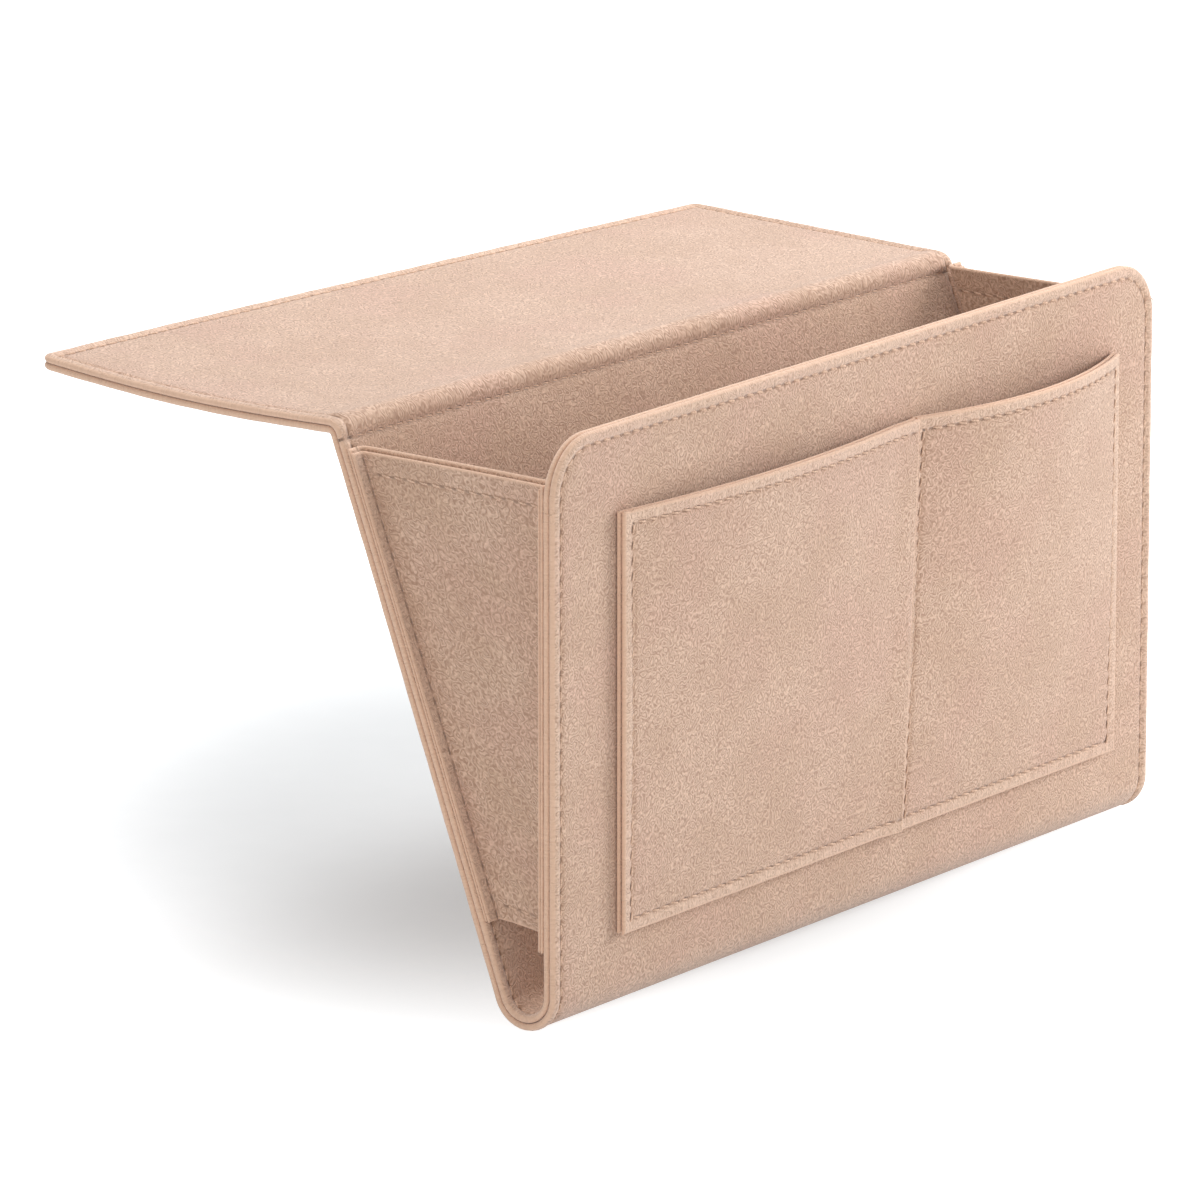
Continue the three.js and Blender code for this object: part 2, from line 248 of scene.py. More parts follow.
def spaced(length: float, edge_steps: tuple, pitch: float) -> Array:
    """Places along a length, close together at both ends.

    Args:
        length: The whole length.
        edge_steps: Distances in from each end, from 0 up.
        pitch: The spacing between them in the middle.

    Returns:
        The places, from 0 to length.
    """
    near = np.array(edge_steps)
    count = max(2, int(round((length - 2 * near[-1]) / pitch)) + 1)
    middle = np.linspace(near[-1], length - near[-1], count)
    return np.concatenate([near[:-1], middle, (length - near[:-1])[::-1]])


EDGE_STEPS = tuple(MM * d for d in (0, 0.12, 0.35, 0.7, 1.1, 1.7, 2.4, 3.1, 3.7, 4.1, 4.5, 4.9,
                                    5.4, 6.2, 7.5, 9.5))


@dataclass(frozen=True)
class ShellPath:
    """The line of the shell seen from its end: flap, fold, back, bottom bend and front."""

    flap_end: float = -FOLD_Y
    fold_centre: tuple[float, float] = (-56.47 * MM, -1.5 * MM)
    fold_radius: float = 1.5 * MM
    back_angle: float = math.radians(159)
    back_run: float = 186.741 * MM
    bend_centre: tuple[float, float] = (-135.994 * MM, -171 * MM)
    bend_radius: float = 12 * MM
    front_top: float = 7 * MM
    middle: float = 2.2 * MM

    @property
    def stations(self) -> tuple[float, float, float, float, float]:
        """Lengths at which the fold, back, bend and front begin and the front ends."""
        fold = self.flap_end - self.fold_centre[0]
        back = fold + (self.fold_radius + self.middle) * (self.back_angle - math.pi / 2)
        bend = back + self.back_run
        front = bend + (self.bend_radius - self.middle) * self.back_angle
        return fold, back, bend, front, front + self.front_top - self.bend_centre[1]

    def at(self, s: Array, depth: Array) -> tuple[Array, Array]:
        """The place at a length along the shell and a depth in from its outer face.

        Args:
            s: Length from the flap's free end.
            depth: Depth into the shell.

        Returns:
            The y and z of each place.
        """
        fold, back, bend, front, _ = self.stations
        turn = np.clip((s - fold) / (back - fold), 0, 1) * (self.back_angle - math.pi / 2)
        angle = math.pi / 2 + turn
        reach = self.fold_radius + depth
        y_fold = self.fold_centre[0] + reach * np.cos(angle)
        z_fold = self.fold_centre[1] + reach * np.sin(angle)
        down = np.clip(s - back, 0, bend - back)
        y_back = y_fold - down * math.sin(self.back_angle)
        z_back = z_fold + down * math.cos(self.back_angle)
        sweep = self.back_angle * (1 - np.clip((s - bend) / (front - bend), 0, 1))
        y_bend = self.bend_centre[0] - (self.bend_radius - depth) * np.cos(sweep)
        z_bend = self.bend_centre[1] - (self.bend_radius - depth) * np.sin(sweep)
        places = [s < fold, s < back, s < bend, s < front]
        y = np.select(places, [self.flap_end - s, y_fold, y_back, y_bend], y_bend)
        z = np.select(places, [depth, z_fold, z_back, z_bend],
                      self.bend_centre[1] + s - front)
        return y, z


@dataclass
class Shell:
    """The long two-ply panel that is the flap, the back, the bottom and the front."""

    path: ShellPath = field(default_factory=ShellPath)
    front_corner: float = 19 * MM
    flap_corner: float = 4 * MM
    ply: float = 1.8 * MM
    edge_ply: float = 2.12 * MM
    core: float = 4.4 * MM
    edge_radius: float = 1.05 * MM
    groove: float = 0.75 * MM
    fold_row: float = 2.2 * MM
    fold_roll: float = 1.0 * MM
    fold_groove_width: float = 1.1 * MM
    row_width: float = 1.0 * MM
    border_roll: float = 0.42 * MM
    border_roll_at: float = 2.1 * MM
    edge_wave: float = 0.10 * MM
    wave_lengths: tuple[float, float] = (7.3 * MM, 3.1 * MM)
    tab_face: float = 6.35 * MM
    tab_shift: float = -0.9 * MM

    def half_width(self, s: Array) -> Array:
        """Half the panel's width at a length along it, less at its rounded corners."""
        length = self.path.stations[-1]
        t = np.minimum(s, length - s)
        corner = np.where(s < length / 2, self.flap_corner, self.front_corner)
        into = np.clip(corner - t, 0, corner)
        return HALF_WIDTH - corner + np.sqrt(corner**2 - into**2)

    def seam(self, x: Array, s: Array) -> tuple[Array, Array]:
        """Where a point lies against the row of stitches round the border.

        Args:
            x: Place across the panel.
            s: Length along the panel.

        Returns:
            The length along the row and the distance in from the cut edge.
        """
        length = self.path.stations[-1]
        corner = np.where(s < length / 2, self.flap_corner, self.front_corner)
        q, t = HALF_WIDTH - np.abs(x), np.minimum(s, length - s)
        in_corner = (q < corner) & (t < corner)
        turn = np.arctan2(corner - t, corner - q)
        arc = np.maximum(corner - STITCH_INSET, 0.5 * MM)
        reach = corner - np.hypot(corner - q, corner - t)
        along = np.where(q < t, -(t - corner), arc * math.pi / 2 + (q - corner))
        u = np.where(in_corner, arc * turn, along)
        return u, np.where(in_corner, reach, np.minimum(q, t))

    def depths(self, x: Array, s: Array, face: Face) -> tuple[Array, Array]:
        """The depths of the two faces of a ply.

        Args:
            x: Place across the panel.
            s: Length along the panel.
            face: Which ply, by the face that it shows.

        Returns:
            The depth of the shown face and of the hidden face.
        """
        u, inset = self.seam(x, s)
        inset = np.maximum(inset, 0)
        full = rounded(inset, self.edge_radius)
        long_wave, short_wave = self.wave_lengths
        wave = self.edge_wave * np.sin(u / long_wave) * np.sin(u / short_wave + 1.3)
        dent = self.groove * stitch_pull(u) * hump(inset - STITCH_INSET, self.row_width)
        roll = self.border_roll * hump(inset - self.border_roll_at, self.row_width)
        if face is Face.INNER:
            fold_at = self.path.stations[1] + self.fold_row
            row = 1.3 * self.groove * hump(s - fold_at, self.fold_groove_width)
            dent = np.maximum(dent, row)
            ridge = np.sin(np.pi * np.clip((s - self.path.stations[0] + 5 * MM)
                                           / (fold_at - self.path.stations[0] + 5 * MM), 0, 1))
            dent = dent - self.fold_roll * ridge * eased(inset, 1 * MM, 6 * MM)
        thick = self.edge_ply + (self.ply - self.edge_ply) * eased(inset, 5 * MM, 8.5 * MM)
        shown = dent - roll - wave * np.exp(-inset / (4 * MM))
        middle = self.edge_ply / 2
        near = middle + (shown - middle) * full
        far = middle + (thick - middle) * full
        if face is Face.INNER:
            return self.core - near, self.core - far
        return near, far

    def place(self, x: Array, s: Array, depth: Array) -> Array:
        """The settled place of points given across, along and into the panel."""
        y, z = self.path.at(s, depth)
        return settle(np.stack([np.broadcast_to(x, y.shape), y, z], -1))

    def grid(self) -> tuple[Array, Array]:
        """The columns and rows that both plies are cut into, as full grids."""
        fold, back, bend, front, length = self.path.stations
        s = spaced(length, EDGE_STEPS, GRID_PITCH)
        turns = np.concatenate([np.linspace(fold, back, 7), np.linspace(bend, front, 17)])
        row = back + self.fold_row + MM * np.array([-2, -1.2, -0.5, 0, 0.5, 1.2, 2])
        s = np.unique(np.concatenate([s, turns, row]))
        s = s[np.concatenate([[True], np.diff(s) > 0.1 * MM])]
        s[-1] = length
        share = spaced(2 * HALF_WIDTH, EDGE_STEPS, GRID_PITCH) / HALF_WIDTH - 1
        s_grid = np.repeat(s[:, None], len(share), 1)
        return share[None, :] * self.half_width(s_grid), s_grid

    def build(self, face: Face, material: Material) -> None:
        """Makes one of the two plies, whole from the flap's end to the front's top.

        Args:
            face: Which ply, by the face that it shows.
            material: The felt.
        """
        x, s = self.grid()
        shown, far = self.depths(x, s, face)
        u, inset = self.seam(x, s)
        cloth = np.stack([x, s, np.full_like(x, 0.37 * face.value / MM)], -1)
        fold_row = s - self.path.stations[1] - self.fold_row
        row = fold_row if face is Face.INNER else np.full_like(x, 1.0)
        seam = np.stack([u, inset, row], -1)
        name = "shell_inner_felt" if face is Face.INNER else "shell_outer_felt"
        ply = slab(name, self.place(x, s, shown), self.place(x, s, far), material, cloth, seam,
                   inset)
        bend_at_fold(ply)
        if face is Face.INNER:
            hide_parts("flap_upper_ply", "fold_inner_ply", "pouch_inner_ply")
        else:
            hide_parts("flap_lower_ply", "fold_outer_ply", "pouch_outer_ply")
        reported(ply)


@dataclass
class Stiffener:
    """A thin board that lies between the plies of the shell and settles with them."""

    node: str
    body: str
    depth: tuple[float, float] = (1.88 * MM, 2.52 * MM)
    corner: float = 10 * MM

    def reach(self, path: ShellPath) -> tuple[float, float]:
        """The lengths along the shell between which the board lies, from its CAD box."""
        low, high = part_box(self.node)
        _, back, _, front, _ = path.stations
        if self.node.startswith("flap"):
            return path.flap_end - high.y, path.flap_end - low.y
        if self.node.startswith("back"):
            top = path.at(np.array(back), np.array(self.depth[0]))[1]
            drop = -math.cos(path.back_angle)
            return back + (float(top) - high.z) / drop, back + (float(top) - low.z) / drop
        return front + low.z - path.bend_centre[1], front + high.z - path.bend_centre[1]

    def build(self, shell: Shell, material: Material) -> None:
        """Makes the board, riding with its body.

        Args:
            shell: The panel that holds it.
            material: The board's finish.
        """
        start, end = self.reach(shell.path)
        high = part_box(self.node)[1]
        s = start + spaced(end - start, (0, 0.2 * MM, 1 * MM, 3 * MM, 6 * MM), 6 * MM)
        share = spaced(2 * high.x, (0, 0.2 * MM, 1 * MM, 3 * MM), 8 * MM) / high.x - 1
        s_grid = np.repeat(s[:, None], len(share), 1)
        into = np.clip(self.corner - np.minimum(s_grid - start, end - s_grid), 0, self.corner)
        half = high.x - self.corner + np.sqrt(self.corner**2 - into**2)
        x = share[None, :] * half
        inset = np.minimum(half - np.abs(x), np.minimum(s_grid - start, end - s_grid))
        full = rounded(inset, 0.2 * MM)
        middle = sum(self.depth) / 2
        faces = [shell.place(x, s_grid, middle + (d - middle) * full) for d in self.depth]
        cloth = np.stack([x, s_grid, np.zeros_like(x)], -1)
        board = slab(self.node + "_sheet", *faces, material, cloth, cloth, inset)
        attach(board, self.body)
        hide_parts(self.node)
        reported(board)


@dataclass
class Gusset:
    """One end of the pouch: two plies, with seam tabs turned outwards."""

    side: Side
    top: float = -7.0 * MM
    bottom: float = -151.6 * MM
    tab_drop: float = 4.0 * MM
    web: tuple[float, float] = (157.6 * MM, 159.35 * MM)
    depth: tuple[float, float] = (4.98 * MM, 6.0 * MM)
    turn: tuple[float, float] = (2.2 * MM, 1.0 * MM)
    ply: float = 1.5 * MM
    tab_ply: float = 0.92 * MM
    inner_rise: float = 1.3 * MM
    top_row: float = 7.0 * MM
    bottom_row: float = 5.0 * MM
    tilt: float = 1.35 * MM
    right_lift: float = 4.3 * MM
    right_tilt: float = 2.7 * MM
    rear_face: float = -62.2 * MM
    front_face: float = 4.4 * MM
    tab_width: float = 7 * MM
    web_from: float = 9 * MM
    swell: float = 0.8 * MM
    dent: float = 0.38 * MM

    def section(self, which: int, z: Array) -> tuple[Array, Array, Array]:
        """The line of a ply across the end of the pouch, at each height.

        Args:
            which: 0 for the inner ply and 1 for the outer one.
            z: Heights.

        Returns:
            Points (rows, columns, 2) as |x| and y, their normals and lengths.
        """
        lean = math.cos(LEAN_ANGLE)
        web, depth, turn = self.web[which], self.depth[which], self.turn[which]
        rear = FOLD_Y - depth / lean + BACK_LEAN * z
        front = np.full_like(z, FRONT_Y + depth)
        tab = spaced(HALF_WIDTH - web - turn, tuple(MM * d for d in (0, 0.2, 0.6)), 1 * MM)
        corner = np.linspace(0, math.pi / 2, 6)[1:-1]
        cuts = spaced(1.0, (0, 0.02, 0.05), 0.035)
        lines = []
        for y0, y1 in zip(rear, front):
            back_tab = [(HALF_WIDTH - t, y0) for t in tab]
            back_turn = [(web + turn - turn * math.sin(a), y0 - turn + turn * math.cos(a))
                         for a in corner]
            run = [(web, y0 - turn + (y1 + turn - y0 + turn) * c) for c in cuts]
            front_turn = [(web + turn - turn * math.cos(a), y1 + turn - turn * math.sin(a))
                          for a in corner]
            front_tab = [(HALF_WIDTH - t, y1) for t in tab[::-1]]
            lines.append(back_tab + back_turn + run + front_turn + front_tab)
        line = np.array(lines)
        along = np.gradient(line, axis=1)
        along /= np.linalg.norm(along, axis=2, keepdims=True)
        normal = np.stack([along[..., 1], -along[..., 0]], -1)
        length = np.concatenate([np.zeros((len(z), 1)), np.cumsum(
            np.linalg.norm(np.diff(line, axis=1), axis=2), axis=1)], 1)
        return line, normal, length

    def heights(self) -> Array:
        """The rows that a ply is cut into, from its bottom to its top."""
        steps = tuple(MM * d for d in (0, 0.15, 0.5, 1.0, 2.0, 3.2, 4.2, 5.0, 5.8, 6.4, 7.0,
                                       7.6, 8.6))
        return self.bottom + spaced(self.top - self.bottom, steps, GRID_PITCH)

    def place(self, abs_x: Array, y: Array, z: Array) -> Array:
        """Settled places from a distance out, a depth and a height."""
        rear = self.rear_face + BACK_LEAN * z
        front_share = np.clip((rear - y) / (rear - FRONT_Y - self.front_face), 0, 1)
        low = 1 - eased(z, self.bottom, self.bottom + 30 * MM)
        tab = eased(abs_x, 160.5 * MM, 162 * MM) * eased(front_share, 0.7, 0.9)
        up = (z - self.bottom) / (self.top - self.bottom)
        lift, tilt = 0, self.tilt
        if self.side is Side.RIGHT:
            lift, tilt = self.right_lift * up, self.right_tilt * up
        tilted = z + lift + tilt * (1 - 2 * front_share) - self.tab_drop * low * tab
        return settle(np.stack([self.side.value * abs_x, y, tilted], -1))

    def build(self, which: int, material: Material) -> None:
        """Makes one ply of the gusset, riding with the pouch.

        Args:
            which: 0 for the inner ply and 1 for the outer one.
            material: The felt.
        """
        z = self.heights()
        z = z + (0 if which else self.inner_rise) * eased(z, self.top - 8 * MM, self.top)
        top = z[-1]
        line, normal, length = self.section(which, z)
        z_grid = np.repeat(z[:, None], line.shape[1], 1)
        from_top, from_bottom = top - z_grid, z_grid - self.bottom
        side_in = np.minimum(length, length[:, -1:] - length)
        inset = np.minimum(np.minimum(from_top, from_bottom), side_in)
        full = rounded(inset, CUT_EDGE_RADIUS)[..., None]
        near_row = np.minimum(np.abs(self.top - z_grid - self.top_row),
                              np.abs(from_bottom - self.bottom_row))
        on_web = eased(side_in, self.tab_width, self.web_from)
        dent = self.dent * hump(near_row, 1 * MM) * on_web
        swell = self.swell * np.sin(np.pi * length / length[:, -1:]) * on_web
        half = between((self.tab_ply, self.ply), eased(side_in, 5 * MM, self.web_from)) / 2
        inward = half - (dent if which == 0 else 0)
        outward = half - (dent if which == 1 else 0)
        faces = []
        for offset in (inward, -outward):
            moved = line + normal * full * np.broadcast_to(
                np.asarray(offset), z_grid.shape)[..., None]
            faces.append(self.place(moved[..., 0] - swell, moved[..., 1], z_grid))
        name = f"{self.side.name.lower()}_gusset_{('inner', 'outer')[which]}"
        cloth = np.stack([length, z_grid, np.full_like(length, 2.7 + which)], -1)
        on_tab = side_in < self.tab_width
        v = np.where(on_tab, side_in, STITCH_INSET + np.where(on_web > 0.1, near_row, 9 * MM))
        seam = np.stack([np.where(on_tab, z_grid, length), v, np.full_like(v, 1.0)], -1)
        ply = slab(name + "_felt", faces[1], faces[0], material, cloth, seam, inset)
        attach(ply, "pouch")
        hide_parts(name + "_ply")
        reported(ply)


@dataclass
class Pocket:
    """A bowed two-ply pocket, sewn to the outside of the front by three sides."""

    name: str
    left: float
    right: float
    bow: float
    divider_on_right: bool
    bottom: float = -156.8 * MM
    top: float = -20.5 * MM
    lift: tuple[float, float] = (0.25 * MM, 2.2 * MM)
    lap: float = 1.3 * MM
    divider_row: float = 2.5 * MM
    ply: float = 1.45 * MM
    hem_row: float = 4.3 * MM
    divider_lean: float = 8 * MM
    dent: float = 0.55 * MM
    wave: float = 0.25 * MM
    wave_length: float = 19 * MM
    mouth_slack: float = 2 * MM

    def sides(self, v: Array) -> tuple[Array, Array]:
        """The pocket's left and right edges at a share of its height, 0 at the bottom."""
        lean = self.divider_lean * (1 - v)
        left = self.left - (0 if self.divider_on_right else 1) * lean
        right = self.right - (1 if self.divider_on_right else 0) * lean
        return left, right

    def stand(self, x: Array, z: Array) -> Array:
        """How far the pocket's back stands off the front, at a place on the front."""
        v = np.clip((z - self.bottom) / (self.top - self.bottom), 0, 1)
        left, right = self.sides(v)
        share = np.clip((x - left) / (right - left), 0, 1)
        lapped = self.lap * (1 - eased(right - x, 0, 14 * MM)) * self.divider_on_right
        return self.bow * 4 * share * (1 - share) * v**1.15 + lapped

    def build(self, which: int, material: Material) -> None:
        """Makes one ply of the pocket, riding with the pouch.

        Args:
            which: 0 for the inner ply and 1 for the outer one.
            material: The felt.
        """
        z = self.bottom + spaced(self.top - self.bottom, EDGE_STEPS, GRID_PITCH)
        across = spaced(self.right - self.left, EDGE_STEPS, GRID_PITCH)
        share = across / across[-1]
        z_grid = np.repeat(z[:, None], len(share), 1)
        v = (z_grid - self.bottom) / (self.top - self.bottom)
        left, right = self.sides(v)
        x = left + (right - left) * share[None, :]
        side_in = np.minimum(x - left, right - x)
        inset = np.minimum(side_in, np.minimum(z_grid - self.bottom, self.top - z_grid))
        outer_in = (x - left) if self.divider_on_right else (right - x)
        divider_in = np.full_like(x, 1.0) if self.divider_on_right else (x - left)
        divider_in = divider_in + STITCH_INSET - self.divider_row
        from_border = np.minimum(np.minimum(outer_in, divider_in), z_grid - self.bottom)
        from_hem = self.top - z_grid + STITCH_INSET - self.hem_row
        near = np.minimum(from_border, from_hem)
        along = np.where(np.minimum(outer_in, divider_in) < z_grid - self.bottom,
                         z_grid - self.bottom, x)
        u = np.where(near == from_hem, x, along)
        full = rounded(inset, CUT_EDGE_RADIUS)
        dent = self.dent * stitch_pull(u) * hump(near - STITCH_INSET, 1 * MM)
        middle = self.lift[which] + self.ply / 2
        pressed = eased(side_in, 0, 3 * MM)
        base = self.stand(x, z_grid)
        shown = base + middle + (self.ply / 2 - (dent if which else 0)) * full
        inner = base + middle - self.ply / 2 * full
        wave = self.wave * np.sin(z_grid / self.wave_length) * pressed * full
        faces = [settle(np.stack([x, FRONT_Y - d - wave * (which > 0), z_grid], -1))
                 for d in (shown, inner)]
        cloth = np.stack([x, z_grid, np.full_like(x, 5.3 + which + self.bow / MM)], -1)
        seam = np.stack([u, near, np.full_like(u, 1.0)], -1)
        name = f"{self.name}_pocket_{('inner', 'outer')[which]}"
        ply = slab(name + "_felt", faces[0], faces[1], material, cloth, seam, inset)
        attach(ply, "pouch")
        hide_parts(name + "_ply")
        reported(ply)


def tube_faces(rings: int, around: int) -> list[list[int]]:
    """The faces of a closed tube: quads between its rings and a cap at each end."""
    ring = np.arange(around)
    faces = []
    for k in range(rings - 1):
        a, b = ring + k * around, ring + (k + 1) * around
        faces += np.stack([a, np.roll(a, -1), np.roll(b, -1), b], 1).tolist()
    return faces + [ring[::-1].tolist(), (ring + (rings - 1) * around).tolist()]


@dataclass
class Stitching:
    """The rows of lockstitch, each stitch a short length of thread between two holes."""

    thread: Material
    radius: float = 0.38 * MM
    length: float = 3.9 * MM
    dip: float = 0.6 * MM
    rings: int = 7
    around: int = 8
    squash: float = 0.8
    slant: float = 0.16
    rise: float = 0.3 * MM

    def sew(self, name: str, body: str | None, rows: list[tuple[Array, Array, Array]],
            node: str) -> None:
        """Makes every stitch of one thread as one piece.

        Args:
            name: The piece's name.
            body: The body that it moves with; none for the row along the fold, which is not
                attached.
            rows: The middle of each stitch, its direction and the way out of the felt.
            node: The CAD node that the piece stands for.
        """
        spots, ahead, out = (np.concatenate(part) for part in zip(*rows))
        ahead = ahead / np.linalg.norm(ahead, axis=1, keepdims=True)
        out = out - ahead * (out * ahead).sum(1, keepdims=True)
        out /= np.linalg.norm(out, axis=1, keepdims=True)
        across = np.cross(ahead, out)
        t = np.linspace(-1, 1, self.rings)
        girth = self.radius * np.sqrt(np.clip(1.02 - np.abs(t) ** 3, 0.02, 1))
        turn = np.arange(self.around) * 2 * math.pi / self.around
        one_out = (girth[:, None] * np.sin(turn) * self.squash - self.dip * t[:, None] ** 4).ravel()
        one_side = (girth[:, None] * np.cos(turn)).ravel()
        one_along = np.repeat(t * self.length / 2, self.around)
        points = (spots[:, None] + ahead[:, None] * one_along[None, :, None]
                  + out[:, None] * one_out[None, :, None]
                  + across[:, None] * (one_side + self.slant * one_along)[None, :, None])
        flat = points.reshape(-1, 3)
        one = tube_faces(self.rings, self.around)
        every = [[i + first for i in face] for first in range(0, len(flat), len(one_out))
                 for face in one]
        piece = mesh_object(name, flat, every, self.thread, {"cloth": flat})
        if body:
            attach(piece, body)
        else:
            bend_at_fold(piece)
        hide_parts(node)
        reported(piece)

    def shell_row(self, shell: Shell, near_flap: bool) -> None:
        """Sews the border of the flap or of the pouch on both faces.

        Args:
            shell: The panel.
            near_flap: The flap's border, or else the pouch's.
        """
        fold, back, _, _, length = shell.path.stations
        corner = shell.flap_corner if near_flap else shell.front_corner
        arc = max(corner - STITCH_INSET, 0.5 * MM)
        reach = (fold if near_flap else length - back) - corner - 3 * MM
        first, last = math.ceil(-reach / STITCH_PITCH), math.floor(
            (HALF_WIDTH - corner + arc * math.pi / 2) / STITCH_PITCH - 0.5)
        u = (np.arange(first, last + 1) + 0.5) * STITCH_PITCH
        rows = []
        for side in Side:
            for face in Face:
                ends = [self.row_place(u + step, corner, arc) for step in (-MM, 0, MM)]
                at = []
                for q, t in ends:
                    s = t if near_flap else length - t
                    x = side.value * (HALF_WIDTH - q)
                    depth = shell.depths(x, s, face)[0]
                    if face is Face.INNER and not near_flap:
                        _, z = shell.path.at(s, depth)
                        tabbed = (z < -8 * MM) & (z > -147 * MM) & (q < 5 * MM)
                        depth = np.where(tabbed, shell.tab_face, depth)
                        x = np.where(tabbed, x - side.value * shell.tab_shift, x)
                    at.append((x, s, depth))
                before, here, after = (shell.place(*a) for a in at)
                lift = self.rise * (1 if face is Face.INNER else -1)
                above = shell.place(at[1][0], at[1][1], at[1][2] + lift)
                rows.append((here, after - before, above - here))
        body = "flap" if near_flap else "pouch"
        self.sew(f"{body}_border_stitches", body, rows, f"{body}_border_thread")

    @staticmethod
    def row_place(u: Array, corner: float, arc: float) -> tuple[Array, Array]:
        """Distances in from the side and from the end, at lengths along a border row."""
        turn = np.clip(u / arc, 0, math.pi / 2)
        q = corner - arc * np.cos(turn) + np.maximum(u - arc * math.pi / 2, 0)
        t = corner - arc * np.sin(turn) + np.maximum(-u, 0)
        return np.where(u < 0, STITCH_INSET, q), np.where(u > arc * math.pi / 2,
                                                          STITCH_INSET, t)

    def fold_seam(self, shell: Shell) -> None:
        """Sews the row under the fold, through both plies."""
        x = np.arange(-31, 32) * STITCH_PITCH
        s = np.full_like(x, shell.path.stations[1] + shell.fold_row)
        ahead = np.tile([1.0, 0.0, 0.0], (len(x), 1))
        rows = []
        for face, lift in ((Face.INNER, self.rise), (Face.OUTER, -self.rise)):
            depth = shell.depths(x, s, face)[0]
            here = shell.place(x, s, depth)
            rows.append((here, ahead, shell.place(x, s, depth + lift) - here))
        self.sew("fold_stitches", None, rows, "fold_thread")

    def gusset_row(self, gusset: Gusset, at_top: bool) -> None:
        """Sews the row that joins a gusset's two plies near its top or its bottom.

        Args:
            gusset: The end of the pouch.
            at_top: The upper row, or else the lower one.
        """
        height = gusset.top - gusset.top_row if at_top else gusset.bottom + gusset.bottom_row
        z = np.array([height])
        rows = []
        for which, sign in ((0, 1), (1, -1)):
            line, normal, length = gusset.section(which, z)
            total = length[0, -1]
            at = np.arange(12 * MM, total - 11 * MM, STITCH_PITCH)
            swell = gusset.swell * np.sin(np.pi * at / total)
            xs = np.interp(at, length[0], line[0, :, 0]) - swell
            ys = np.interp(at, length[0], line[0, :, 1])
            nx = np.interp(at, length[0], normal[0, :, 0])
            off = sign * (gusset.ply / 2 - 0.2 * MM)
            heights = np.full_like(xs, height)
            here = gusset.place(xs + nx * off, ys, heights)
            above = gusset.place(xs + nx * off * 1.4, ys, heights)
            rows.append((here, np.gradient(here, axis=0), above - here))
        side, end = gusset.side.name.lower(), "top" if at_top else "bottom"
        self.sew(f"{side}_gusset_{end}_stitches", "pouch", rows, f"{side}_gusset_{end}_thread")

    def pocket_rows(self, left: Pocket, right: Pocket) -> None:
        """Sews both hems, the pockets' border and the divider between them.

        Args:
            left: The wide pocket.
            right: The narrow pocket.
        """
        def on(pocket: Pocket, x: Array, z: Array) -> Array:
            """Places on the pocket's shown face."""
            d = pocket.stand(x, z) + pocket.lift[1] + pocket.ply - 0.28 * MM
            return settle(np.stack([x, FRONT_Y - d, z], -1))

        def upright(pocket: Pocket, right_edge: bool) -> Array:
            """A row up one side of a pocket."""
            z = np.arange(pocket.bottom + 5 * MM, pocket.top - 3 * MM, STITCH_PITCH)
            sides = pocket.sides((z - pocket.bottom) / (pocket.top - pocket.bottom))
            inset = -STITCH_INSET if right_edge else STITCH_INSET
            if not right_edge and not pocket.divider_on_right:
                inset = pocket.divider_row
            return on(pocket, sides[int(right_edge)] + inset, z)

        def level(pocket: Pocket, z: float, margin: float) -> Array:
            """A row across a pocket at one height."""
            v = (z - pocket.bottom) / (pocket.top - pocket.bottom)
            ends = [float(np.asarray(e)) for e in pocket.sides(np.array(v))]
            x = np.arange(ends[0] + margin, ends[1] - margin, STITCH_PITCH)
            return on(pocket, x, np.full_like(x, z))

        def sew(name: str, node: str, rows: list[Array]) -> None:
            """Sews rows that lie on the front of the pockets."""
            self.sew(name, "pouch", [(row, np.gradient(row, axis=0),
                                      np.tile([0.0, -1.0, 0.0], (len(row), 1)))
                                     for row in rows], node)

        foot = left.bottom + STITCH_INSET
        sew("pocket_border_stitches", "pocket_border_thread",
            [upright(left, False), level(left, foot, 7 * MM),
             level(right, foot, 7 * MM), upright(right, True)])
        sew("pocket_divider_stitches", "pocket_divider_thread", [upright(right, False)])
        for pocket in (left, right):
            sew(f"{pocket.name}_pocket_hem_stitches", f"{pocket.name}_pocket_hem_thread",
                [level(pocket, pocket.top - pocket.hem_row, 8 * MM)])


@dataclass
class ThreadTails:
    """Short loose ends of thread left where the rows of stitches begin and stop."""

    thread: Material
    radius: float = 0.2 * MM
    around: int = 6
    steps: int = 14

    def build(self, tails: dict[str, list[tuple[float, float, float]]]) -> None:
        """Makes each tail as a bent, tapering strand that starts inside the felt.

        Args:
            tails: The places that each strand passes, in millimetres.
        """
        for name, places in tails.items():
            knots = np.array(places) * MM
            at = np.linspace(0, len(knots) - 1, self.steps)
            line = np.stack([np.interp(at, range(len(knots)), knots[:, k]) for k in range(3)], 1)
            for _ in range(3):
                line[1:-1] = (line[:-2] + 2 * line[1:-1] + line[2:]) / 4
            ahead = np.gradient(line, axis=0)
            ahead /= np.linalg.norm(ahead, axis=1, keepdims=True)
            first = np.cross(ahead, (0.3, 0.5, 0.81))
            first /= np.linalg.norm(first, axis=1, keepdims=True)
            second = np.cross(ahead, first)
            turn = np.arange(self.around) * 2 * math.pi / self.around
            girth = self.radius * np.linspace(1, 0.45, self.steps)[:, None, None]
            points = line[:, None] + girth * (first[:, None] * np.cos(turn)[None, :, None]
                                              + second[:, None] * np.sin(turn)[None, :, None])
            faces = tube_faces(self.steps, self.around)
            flat = points.reshape(-1, 3)
            tail = mesh_object(name, flat, faces, self.thread, {"cloth": flat})
            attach(tail, "pouch")
            reported(tail)


